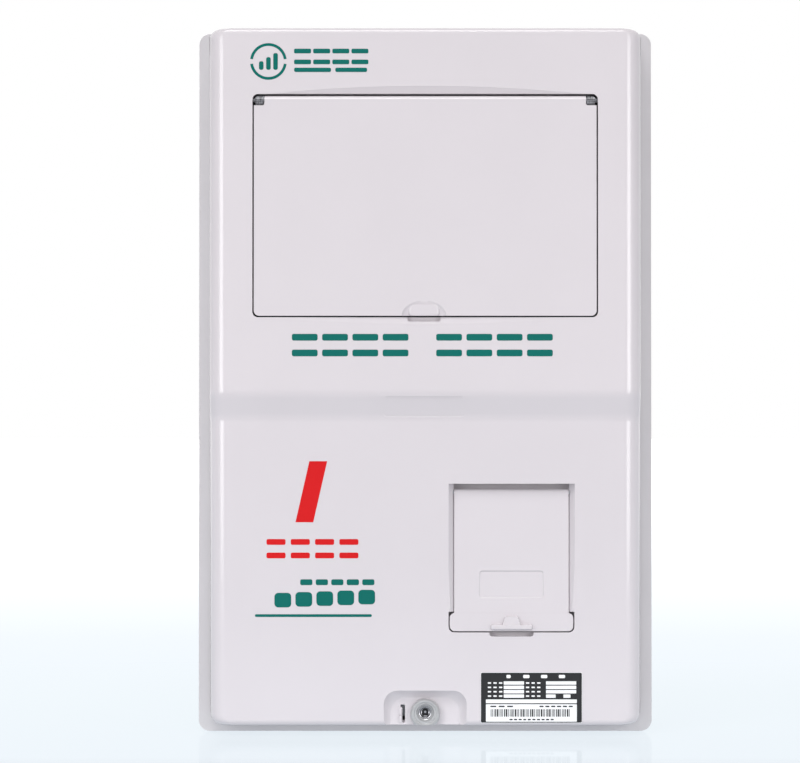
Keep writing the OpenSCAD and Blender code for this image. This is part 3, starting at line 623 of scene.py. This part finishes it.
def flap_knuckles():
    """Translucent knuckles in the flap's top corners, grooved across, each on its pin."""
    edge = FLAP_W / 2
    for side, name in ((-1, "left"), (1, "right")):
        profile = (arc(FLAP_PIN_D, FLAP_PIN_Z, 3.6, 0, 180, 16)
                   + [(FLAP_PIN_D - 3.6, FLAP_PIN_Z - 3.4), (FLAP_PIN_D - 2.6, FLAP_PIN_Z - 4.4),
                      (FLAP_PIN_D + 2.8, FLAP_PIN_Z - 4.4), (FLAP_PIN_D + 3.6, FLAP_PIN_Z - 3.8)])
        inner, outer = sorted((side * (edge - 7.6), side * (edge - 1.2)))
        block = across(f"{name}_flap_knuckle", profile, inner, outer)
        corner = slab("corner", rounded_rect(side * (edge - 14.9), FLAP_PIN_Z - 7, 29.2, 21.2, 4.2, 8),
                      COVER.front - 12, COVER.front + 1)
        foot = slab("foot", rounded_rect(side * (edge + 2.4), FLAP_PIN_Z + 6.4, 20, 20, 1.5),
                    COVER.front - 12, COVER.front + 1)
        keep(block, corner)
        keep(block, foot)
        for k in range(4):
            z = FLAP_PIN_Z + 2.2 - 1.7 * k
            cut(block, slab("groove", rounded_rect(side * (edge - 3.9), z, 5.6, 0.55, 0.2, 2),
                            COVER.front - 0.7, COVER.front + 1))
        pin = sorted((side * (edge - 17.2), side * (edge + 3.6)))
        join(block, bar("pin", pin[0], pin[1], FLAP_PIN_D, FLAP_PIN_Z, 1.78))
        nodes = ["flap_knuckles"] if side < 0 else []
        dress(block, "smoke_plastic", "window_flap", *nodes, width=0.25)


def breaker_flap():
    back = DOOR_FRONT - 2.5
    top_z = DOOR_PIN_Z
    panel = slab("breaker_flap_panel", rounded_rect(DOOR_X, (top_z + DOOR_STEP) / 2 - 1, 2 * DOOR_HALF,
                                                    top_z - DOOR_STEP + 2, 0.5), back, DOOR_FRONT)
    foot = slab("foot", rounded_rect(DOOR_X, (DOOR.bottom + DOOR_STEP) / 2, DOOR.right - DOOR.left,
                                     DOOR_STEP - DOOR.bottom, 4, 8), back, DOOR_FRONT + 0.4)
    barrel = bar("barrel", DOOR_X - DOOR_HALF, DOOR_X + DOOR_HALF, DOOR_FRONT - 2.3, top_z, 2.3)
    join(panel, foot, barrel)
    for side in (-1, 1):
        end = DOOR_X + side * DOOR_HALF
        cut(panel, bar("pin bore", end - 7, end + 7, DOOR_FRONT - 2.3, top_z, 1.42))
    low = DOOR.bottom
    ledge = loft("ledge", [[at(x, depth, z) for x, z in rounded_rect(DOOR_X, low + 3.4, w, h, 0.8)]
                           for depth, w, h in ((DOOR_FRONT - 0.5, 33.4, 4.4), (DOOR_FRONT + 3.8, 32, 3.3),
                                               (DOOR_FRONT + 4.2, 31.2, 2.6))])
    rib = loft("rib", [[at(DOOR_X + x, depth, z) for x, z in
                        ((-7.2 - g, low + 4.6), (7.2 + g, low + 4.6), (4.8 + g, low + 11.2 + g),
                         (-4.8 - g, low + 11.2 + g))]
                       for depth, g in ((DOOR_FRONT - 0.5, 0.7), (DOOR_FRONT + 3.6, 0))])
    sunk = loft("sunk panel", [[at(x, DOOR_FRONT + lift, z)
                                for x, z in rounded_rect(DOOR_X, RAIL_Z - 20, w, w - 29, r)]
                               for lift, w, r in ((-0.9, 49, 1.9), (0.02, 51, 2.6), (1, 51, 2.6))])
    join(cut(panel, sunk), ledge, rib)
    merge_flat(panel)
    dress(panel, "shell_white", "breaker_flap", "breaker_flap", width=0.3)


# ---- Lock ----

def key_outline():
    """Twelve-sided outline of the key's socket, pulled in on some sides."""
    outline = []
    for k in range(12):
        a = 2 * PI * k / 12
        wide = 1 - 0.22 * (k % 3 == 0)
        tall = 1 - 0.3 * (k % 4 == 1)
        outline.append((3.3 * math.cos(a) * wide, LOCK_Z + 3.3 * math.sin(a) * tall))
    return outline


def lock():
    """Bezel with turned rings, flat along the cover's edge, and a barrel with a keyed socket."""
    d = RECESS_D
    bezel = turned("lock_bezel_ring", 0, LOCK_Z, [
        (5.27, d - 17), (6, d - 17), (6, d + 0.2), (11.9, d + 0.2), (11.7, d + 4.5), (11.2, d + 6.2),
        (10.2, d + 7.0), (8.9, d + 6.9), (8.3, d + 6.2), (7.9, d + 6.3), (7.2, d + 6.4), (6.5, d + 5.6),
        (5.9, d + 4.2), (5.27, d + 3.9)])
    # The outer rings sit a little lower than the barrel.
    for vertex in bezel.data.vertices:
        reach = math.hypot(vertex.co.x, vertex.co.z - LOCK_Z * MM) / MM
        vertex.co.z -= 1.2 * MM * min(max((reach - 7) / 5, 0), 1)
    cut(bezel, slab("trim", rounded_rect(0, COVER.bottom - 9.7, 60, 20, 0.1), d - 1, d + 9))
    dress(bezel, "lock_plastic", "cover", "lock_bezel", width=0.2)
    barrel = turned("lock_barrel_plug", 0, LOCK_Z, [
        (0.01, BARREL.back), (3, BARREL.back), (3, BARREL.back + 3), (5.2, BARREL.back + 3),
        (5.2, d + 3.4), (4.8, d + 3.9), (4.3, d + 3.7), (3.3, d + 1.6), (0.01, d + 1.2)])
    cut(barrel, slab("socket", key_outline(), d - 8, d + 5),
        rod("screw bore", 0, LOCK_Z, 1.6, BARREL.back - 1, BARREL.back + 8))
    join(barrel, rod("post", 0, LOCK_Z, 0.9, d - 8.5, d - 1.8, 20))
    dress(barrel, "lock_metal", "lock", "lock_barrel", width=0.15)
    # Black disc at the bottom of the key socket: painted shade that makes the key hole dark.
    hole_shade = turned("lock_key_hole_shade", 0, LOCK_Z, [
        (0.92, d - 2.4), (3.6, d - 2.4), (3.6, d - 1.9), (0.92, d - 1.6)])
    dress(hole_shade, "black_plastic", "lock", width=0)


# ---- Printed marks: plain shapes only ----

def mark(name, outlines, look, body="cover", proud=0.08, place=on_front):
    """Thin solids of ink on a surface."""
    bm = bmesh.new()
    for outline in outlines:
        low = [bm.verts.new(place(x, z, -0.12)) for x, z in outline]
        high = [bm.verts.new(place(x, z, proud)) for x, z in outline]
        bm.faces.new(low)
        bm.faces.new(high)
        for i in range(len(outline)):
            j = (i + 1) % len(outline)
            bm.faces.new((low[i], low[j], high[j], high[i]))
    obj = from_mesh(name, bm)
    return dress(obj, None, body, look=look, width=0)


def double_bars(x, z, w, h, r=1.0):
    """Two bars, one above the other, filling a w by h field from its lower left corner."""
    thick = h * 0.3
    return [rounded_rect(x + w / 2, z + thick / 2 + k * (h - thick), w, thick, min(r, thick / 2.1), 3)
            for k in (0, 1)]


def band(inner, outer, start, end, cx, cz, steps=36):
    """Part of a ring, in degrees."""
    return arc(cx, cz, outer, start, end, steps) + arc(cx, cz, inner, end, start, steps)


def emblem():
    """Round emblem: a broken ring round three rising bars."""
    x, z = -122.9, 250.4
    shapes = [band(12.2, 14.4, 8, 172, x, z), band(12.2, 14.4, 188, 352, x, z)]
    shapes += [rounded_rect(x + 5.6 * k, z - 1.6 + 1.6 * k, 3.6, 10 + 3.2 * k, 1.5, 4) for k in (-1, 0, 1)]
    return shapes


def printed_marks():
    """Plain bars and blocks over the printed fields of the cover, placed in front-view millimetres."""
    mark("emblem_mark", emblem(), INK_TEAL)
    shapes = []
    for k in range(4):
        shapes += double_bars(-102.8 + 15 * k, 248.2, 13.3, 12.2)
    shapes += [rounded_rect(-88.3, 243.8, 29, 3.4, 1.2, 3), rounded_rect(-58, 243.8, 25, 3.4, 1.2, 3)]
    mark("heading_mark", shapes, INK_TEAL)
    shapes = []
    for start in (-104.4, 8.6):
        for k in range(4):
            shapes += double_bars(start + 23.7 * k, 19.2, 20.2, 17.6, 1.4)
    mark("window_line_mark", shapes, INK_TEAL)
    block = [(-77, -63), (-91, -63), (-102, -111), (-88, -111)]
    mark("slanted_mark", [block], INK_RED)
    shapes = []
    for k in range(4):
        shapes += double_bars(-124.8 + 19.1 * k, -139.4, 15, 15.2, 1.2)
    mark("warning_line_mark", shapes, INK_RED)
    shapes = [rounded_rect(-88, -184.5, 92, 2.2, 1, 3)]
    shapes += [rounded_rect(-112 + 16.5 * k, -172.3 + 0.6 * k, 13.2, 11.5, 3, 5) for k in range(5)]
    shapes += [rounded_rect(-93.5 + 12.2 * k, -158.2, 9.6, 4.6, 1.3, 3) for k in range(5)]
    mark("service_line_mark", shapes, INK_TEAL)


# ---- Nameplate ----

def plate_place(u, v, lift):
    """Place on the nameplate: u across and v up from its middle, in millimetres."""
    tilt = math.atan(LEAN / (KNEE_Z - COVER.bottom))
    z = centre_z(PLATE) + v * math.cos(tilt)
    base = front_depth(z) + 0.6
    return at(centre_x(PLATE) + u, base + lift, z)


def nameplate():
    half_w = (PLATE.right - PLATE.left) / 2
    half_h = (PLATE.top - PLATE.bottom) / 2
    outline = rounded_rect(0, 0, 2 * half_w, 2 * half_h, 1, 5)
    plate = loft("nameplate_body", [[plate_place(u, v, lift) for u, v in outline] for lift in (-0.6, -0.15)])
    dress(plate, "label_stock", "cover", "nameplate", width=0.1)
    field = rounded_rect(0, 0, 2 * half_w - 0.6, 2 * half_h - 0.6, 0.9, 5)
    mark("nameplate_field", [field], INK_BLACK, proud=-0.08, place=plate_place)
    cells = []
    for k in range(4):
        v = 11.6 - 3.45 * k
        cells.append(rounded_rect(-13.8, v, 16, 2.7, 0.3, 2))
        cells += [rounded_rect(-33 + 4.4 * j, v, 2.6, 1.2, 0.3, 2) for j in range(3)]
        cells += [rounded_rect(-3 + 4.4 * j, v, 2.6, 1.2, 0.3, 2) for j in range(3)]
        if k < 3:
            cells.append(rounded_rect(23.4, v, 23.8, 2.7, 0.3, 2))
    cells += [rounded_rect(15.3, 1.2, 7.6, 2.7, 0.3, 2), rounded_rect(28, 1.2, 5.6, 2.7, 0.3, 2)]
    cells.append(rounded_rect(0, -2.9, 71.6, 3.0, 0.3, 2))
    cells += [rounded_rect(-18 + 14 * k, 16.7, 5 if k else 3.4, 2.6, 0.8, 3) for k in range(4)]
    cells.append(rounded_rect(0, -12.1, 71.6, 13.8, 0.4, 2))
    mark("nameplate_cells", cells, LOOKS["label_stock"], proud=0.0, place=plate_place)
    bars = []
    u = -32.0
    for k in range(46):
        width = (0.5, 0.9, 0.5, 1.2, 0.5)[k * 7 % 5]
        gap = (0.55, 0.5, 0.9)[k * 5 % 3]
        if u + width > 31.8:
            break
        bars.append([(u, -15), (u + width, -15), (u + width, -9.1), (u, -9.1)])
        u += width + gap
    bars += [rounded_rect(-30 + 6.6 * k, -6.9, 4.6, 1.1, 0.3, 2) for k in range(3)]
    bars += [rounded_rect(8 + 4.6 * k, -6.9, 3.2, 1.1, 0.3, 2) for k in range(6)]
    bars += [rounded_rect(-16 + 3.6 * k, -17.3, 2.4, 1.1, 0.3, 2) for k in range(10)]
    mark("nameplate_bars", bars, INK_BLACK, proud=0.07, place=plate_place)


# ---- Wires ----

def route_object(name, routes, radius):
    """Round insulated wires along their routes."""
    data = bpy.data.curves.new(name, "CURVE")
    data.dimensions = "3D"
    data.bevel_depth = radius * MM
    data.bevel_resolution = 4
    data.resolution_u = 8
    data.use_fill_caps = True
    for route in routes:
        spline = data.splines.new("BEZIER")
        spline.bezier_points.add(len(route) - 1)
        for point, place in zip(spline.bezier_points, route):
            point.co = at(*place)
            point.handle_left_type = "AUTO"
            point.handle_right_type = "AUTO"
    obj = bpy.data.objects.new(name, data)
    bpy.context.scene.collection.objects.link(obj)
    return obj


TERMINAL_Z = -105.0
LIVE_ROUTES = [
    [(-91.6, 85, TERMINAL_Z), (-91.6, 85, -80), (-99, 62, -40), (-99, 44, 0), (-99, 40, 30),
     (-99, 40, 59.5)],
    [(40, 85, TERMINAL_Z), (40, 85, -80), (40, 70, -50), (40, 40, 0), (38, 26, 22), (20, 24, 28),
     (-40, 24, 32), (-70, 28, 36), (-77, 38, 44), (-77, 40, 59.5)],
    [(-86.4, 85, TERMINAL_Z), (-86.4, 88, -84), (-78, 92, -70), (-60, 90, -64), (-40, 75, -64),
     (-20, 60, -64), (20, 60, -64), (33, 56, -48), (33, 44, 0), (33, 40, 30), (33, 40, 59.5)],
    [(76, 85, TERMINAL_Z), (76, 85, -80), (76, 75, -60), (76, 48, -30), (64, 34, 0), (55, 36, 30),
     (55, 40, 59.5)],
]
NEUTRAL_ROUTES = [
    [(-73.6, 85, TERMINAL_Z), (-73.6, 85, -80), (-62, 62, -40), (-55, 44, 0), (-55, 40, 30),
     (-55, 40, 59.5)],
    [(58, 85, TERMINAL_Z), (58, 85, -80), (58, 75, -50), (58, 64, -10), (40, 60, 6), (-10, 60, 8),
     (-28, 50, 14), (-33, 40, 30), (-33, 40, 59.5)],
    [(-68.4, 85, TERMINAL_Z), (-68.4, 85, -92), (-58, 70, -80), (-40, 60, -78), (70, 60, -78),
     (85, 60, -66), (85, 50, -20), (82, 42, 10), (77, 40, 35), (77, 40, 59.5)],
    [(94, 85, TERMINAL_Z), (94, 85, -80), (94, 75, -60), (97, 55, -20), (99, 40, 20), (99, 40, 59.5)],
]


def wires():
    for name, routes, slot in (("live_wires", LIVE_ROUTES, "wire_red"),
                               ("neutral_wires", NEUTRAL_ROUTES, "wire_blue")):
        obj = route_object(name + "_run", routes, 2.25)
        obj.data.materials.append(LOOKS[slot])
        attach(obj, "base")
        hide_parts(name)


# ---- Meter faces and device faces ----

SEGMENTS = {"0": "abcdef", "1": "bc", "2": "abdeg", "3": "abcdg", "4": "bcfg", "5": "acdfg"}


def digit(value, x, z, w, h):
    """Seven-segment digit from its lower left corner."""
    t = h * 0.11
    places = {"a": (w / 2, h, w, t), "d": (w / 2, 0, w, t), "g": (w / 2, h / 2, w, t),
              "b": (w, h * 0.75, t, h * 0.42), "c": (w, h * 0.25, t, h * 0.42),
              "f": (0, h * 0.75, t, h * 0.42), "e": (0, h * 0.25, t, h * 0.42)}
    return [rounded_rect(x + places[s][0], z + places[s][1], places[s][2] * 0.86, places[s][3], t * 0.3, 2)
            for s in SEGMENTS[value]]


def meter_face(side, number):
    front = extent(f"{side}_meter_front")
    lcd = extent(f"{side}_meter_display")
    middle = centre_x(front)

    def on_glass(x, z, lift):
        return at(x, lcd.front + lift, z)

    def on_face(x, z, lift):
        return at(x, front.front + lift, z)

    shapes = []
    for k, value in enumerate(number):
        shapes += digit(value, middle - 24.5 + 8.2 * k, centre_z(lcd) - 6.5, 5, 11)
    shapes.append(oval(middle + 15.1, centre_z(lcd) - 6.3, 1.4, 1.4, 12))
    mark(f"{side}_meter_digits", shapes, INK_BLACK, "base", 0.1, on_glass)
    low = front.bottom
    lines = [rounded_rect(middle - 20, low + rise, length, 1.4, 0.4, 2)
             for rise, length in ((26, 44), (22, 36), (18, 40))]
    lines += [rounded_rect(middle + 12 + 3 * k, low + 22, 1.2 + 0.6 * (k % 3), 9, 0.2, 2) for k in range(11)]
    mark(f"{side}_meter_print", lines, INK_BLACK, "base", 0.1, on_face)
    for k, look in enumerate((LED_RED, LOOKS["clear_plastic"])):
        lens = turned(f"{side}_meter_lamp_{k}", middle + 38 + 7 * k, centre_z(front) - 8,
                      [(0.01, front.front - 0.6), (1.7, front.front - 0.6), (1.7, front.front + 0.4),
                       (1.2, front.front + 0.9), (0.01, front.front + 1.1)], 24)
        dress(lens, None, "base", look=look, width=0)


def device_face(node):
    """Printed marks on a two-pole device."""
    box = extent(node)
    middle = centre_x(box)

    def on_nose(x, z, lift):
        return at(x, box.front + lift, z)

    def on_step(x, z, lift):
        return at(x, 105 + lift, z)

    shapes = [rounded_rect(middle + 0.5, RAIL_Z + 15.2, 20, 1.3, 0.4, 2),
              rounded_rect(middle - 2.5, RAIL_Z + 12.4, 14, 1.0, 0.3, 2),
              rounded_rect(middle, RAIL_Z - 13.2, 1.0, 4.4, 0.4, 2)]
    shapes += [band(1.5, 2.3, 0, 350, middle, RAIL_Z - 18.2, 24)]
    mark(f"{node}_print", shapes, INK_BLACK, "base", 0.1, on_nose)
    stripes = [rounded_rect(middle + k * 9, RAIL_Z - 26.6, 5, 1, 0.3, 2) for k in (-1, 1)]
    mark(f"{node}_terminal_print", stripes, INK_BLACK, "base", 0.1, on_step)


# ---- CAD nodes that stay ----

EDGE_WIDTHS = {"zinc_steel": 0.2, "brass": 0.2, "lock_metal": 0.15, "circuit_board": 0.15, "shell_grey": 1.2}


def finish_cad_nodes():
    """Round edges and a material on every CAD node that is still shown."""
    for part in frame["record"]["subparts"]:
        obj = frame["nodes"][part["node"]]
        if obj.hide_render:
            continue
        weld = obj.modifiers.new("join faces", "WELD")
        weld.merge_threshold = WELD_DIST
        flat = obj.modifiers.new("merge flats", "DECIMATE")
        flat.decimate_type = "DISSOLVE"
        flat.angle_limit = FLAT_ANGLE
        slot = part["material_slot"]
        soften(obj, EDGE_WIDTHS.get(slot, 0.35))
        obj.data.materials.clear()
        obj.data.materials.append(LOOKS[slot])


# ---- Stage, lights and camera ----

AIM = at(0, COVER.front, -0.5)
DISTANCE = 2.4
LENS = 138.0
PITCH = math.radians(0.8)
FLOOR_Z = -0.2798


def fade(nodes, links, coordinate, axis, stops):
    """Colour that changes along one axis; stops are (place, colour)."""
    split = nodes.new("ShaderNodeSeparateXYZ")
    links.new(coordinate, split.inputs["Vector"])
    start, end = stops[0][0], stops[-1][0]
    scale = nodes.new("ShaderNodeMapRange")
    scale.inputs["From Min"].default_value = start
    scale.inputs["From Max"].default_value = end
    links.new(split.outputs[axis], scale.inputs["Value"])
    ramp = nodes.new("ShaderNodeValToRGB")
    marks = ramp.color_ramp.elements
    while len(marks) < len(stops):
        marks.new(0.5)
    for mark_at, (place, colour) in zip(marks, stops):
        mark_at.position = (place - start) / (end - start)
        mark_at.color = (*colour, 1)
    links.new(scale.outputs["Result"], ramp.inputs["Fac"])
    return ramp.outputs["Color"]


def floor():
    """Lit table: pale blue by the box, white far behind it, dim in front, with a faint mirror image."""
    bm = bmesh.new()
    bm.faces.new([bm.verts.new((x, y, FLOOR_Z)) for x, y in ((-30, -6), (30, -6), (30, 60), (-30, 60))])
    obj = from_mesh("studio_floor", bm)
    material, nodes, links, shader = new_material("studio floor")
    coords = nodes.new("ShaderNodeTexCoord")
    glow = fade(nodes, links, coords.outputs["Object"], "Y",
                [(-0.8, (0.10, 0.11, 0.12)), (-0.295, (0.69, 0.75, 0.80)), (0.2, (0.68, 0.74, 0.78)),
                 (1.0, (0.65, 0.70, 0.75)), (3.4, (0.72, 0.75, 0.77)), (7.5, (0.88, 0.88, 0.88))])
    links.new(glow, shader.inputs["Emission Color"])
    shader.inputs["Emission Strength"].default_value = 1.0
    shader.inputs["Base Color"].default_value = (0.08, 0.08, 0.08, 1)
    shader.inputs["Roughness"].default_value = 0.03
    shader.inputs["IOR"].default_value = 1.016
    obj.data.materials.append(material)


def softbox(name, place, size, power, aim=(0, -0.1, 0)):
    light = bpy.data.lights.new(name, "AREA")
    light.shape = "RECTANGLE"
    light.size = size[0]
    light.size_y = size[1]
    light.energy = power
    obj = bpy.data.objects.new(name, light)
    obj.location = place
    obj.rotation_euler = (Vector(aim) - Vector(place)).to_track_quat("-Z", "Y").to_euler()
    bpy.context.scene.collection.objects.link(obj)


def lights():
    world = bpy.data.worlds.new("studio light")
    world.use_nodes = True
    nodes, links = world.node_tree.nodes, world.node_tree.links
    coords = nodes.new("ShaderNodeTexCoord")
    sky = fade(nodes, links, coords.outputs["Generated"], "Y",
               [(-0.3, (0.34, 0.34, 0.34)), (0.2, (0.5, 0.5, 0.5)), (0.85, (1.0, 1.0, 1.0))])
    links.new(sky, nodes["Background"].inputs["Color"])
    bpy.context.scene.world = world
    softbox("key", (-0.4, -2.0, 2.7), (2.0, 1.2), 58)
    softbox("left strip", (-0.68, -1.0, 0.07), (0.45, 0.69), 4.6, aim=(-0.16, -0.15, 0.07))
    softbox("right strip", (0.68, -1.0, 0.07), (0.45, 0.69), 4.6, aim=(0.16, -0.15, 0.07))


def camera():
    data = bpy.data.cameras.new("camera")
    data.lens = LENS
    data.sensor_width = 36
    data.shift_x = -0.0315
    data.clip_end = 50
    obj = bpy.data.objects.new("camera", data)
    obj.location = (0, AIM.y - DISTANCE, AIM.z - DISTANCE * math.tan(PITCH))
    obj.rotation_euler = (PI / 2 + PITCH, 0, 0)
    bpy.context.scene.collection.objects.link(obj)
    bpy.context.scene.camera = obj
    bpy.context.scene.view_settings.view_transform = "Standard"


camera()
floor()
lights()
front_cover()
window_flap()
window_gap_shade()
flap_knuckles()
breaker_flap()
lock()
printed_marks()
nameplate()
wires()
meter_face("left", "00241")
meter_face("right", "00135")
for device in ("isolator", "breaker_a", "breaker_b"):
    device_face(f"{device}_body")
finish_cad_nodes()
